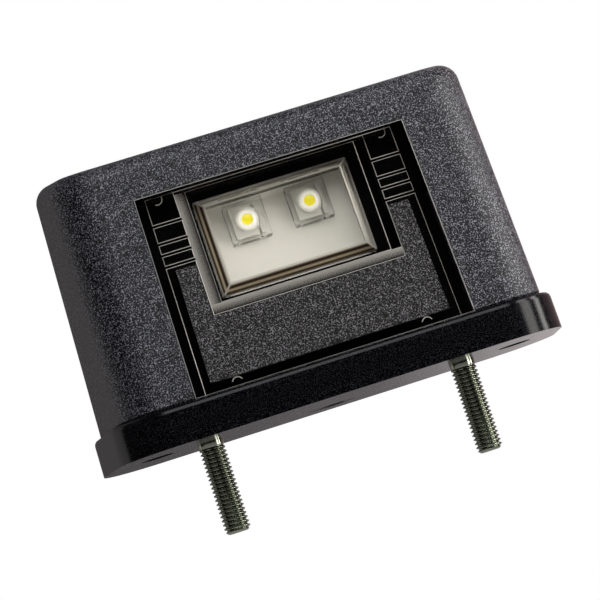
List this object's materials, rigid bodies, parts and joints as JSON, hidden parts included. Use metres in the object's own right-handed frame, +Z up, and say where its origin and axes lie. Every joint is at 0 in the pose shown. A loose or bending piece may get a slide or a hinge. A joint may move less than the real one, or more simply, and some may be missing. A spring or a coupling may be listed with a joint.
{
  "type": "number plate lamp",
  "caption": "LED number plate lamp: black hood on a flanged base with threaded mounting studs, and a clear lens in its sloping front that shows white LEDs on a board.",
  "frame": {"origin": "midway between the two studs, on the plane of the flange's underside", "axes": "+X along the flange from stud to stud, +Y towards the back of the hood, so the lens faces -Y, +Z up into the hood; the studs point along -Z"},
  "size_m": [0.0906, 0.0398, 0.0744],
  "materials": {
    "hood_plastic": "fine spark-eroded grain",
    "base_plastic": "smooth with a faint grain",
    "lens_clear": "polished clear",
    "window_clear": "polished clear",
    "board_white": "white solder resist",
    "led_resin": "polished clear",
    "lead_frame": "tinned",
    "phosphor": "matt",
    "stud_zinc": "bright zinc plating",
    "screw_steel": "zinc plating",
    "grommet_rubber": "matt",
    "resistor_body": "glazed",
    "diode_body": "moulded",
    "terminal_brass": "bare"
  },
  "bodies": {
    "root": {"hood": "hood_plastic", "base": "base_plastic", "lens": "lens_clear", "inner_window": "window_clear", "led_board": "board_white", "led_left_body": "led_resin", "led_right_body": "led_resin", "led_left_cathode": "lead_frame", "led_right_cathode": "lead_frame", "led_left_anode": "lead_frame", "led_right_anode": "lead_frame", "led_left_phosphor": "phosphor", "led_right_phosphor": "phosphor", "stud_left": "stud_zinc", "stud_right": "stud_zinc", "hood_screw_left": "screw_steel", "hood_screw_right": "screw_steel", "board_screw_left": "screw_steel", "board_screw_right": "screw_steel", "cable_grommet": "grommet_rubber", "resistor_left": "resistor_body", "resistor_right": "resistor_body", "diode": "diode_body", "terminal_left": "terminal_brass", "terminal_right": "terminal_brass"}
  },
  "joints": []
}
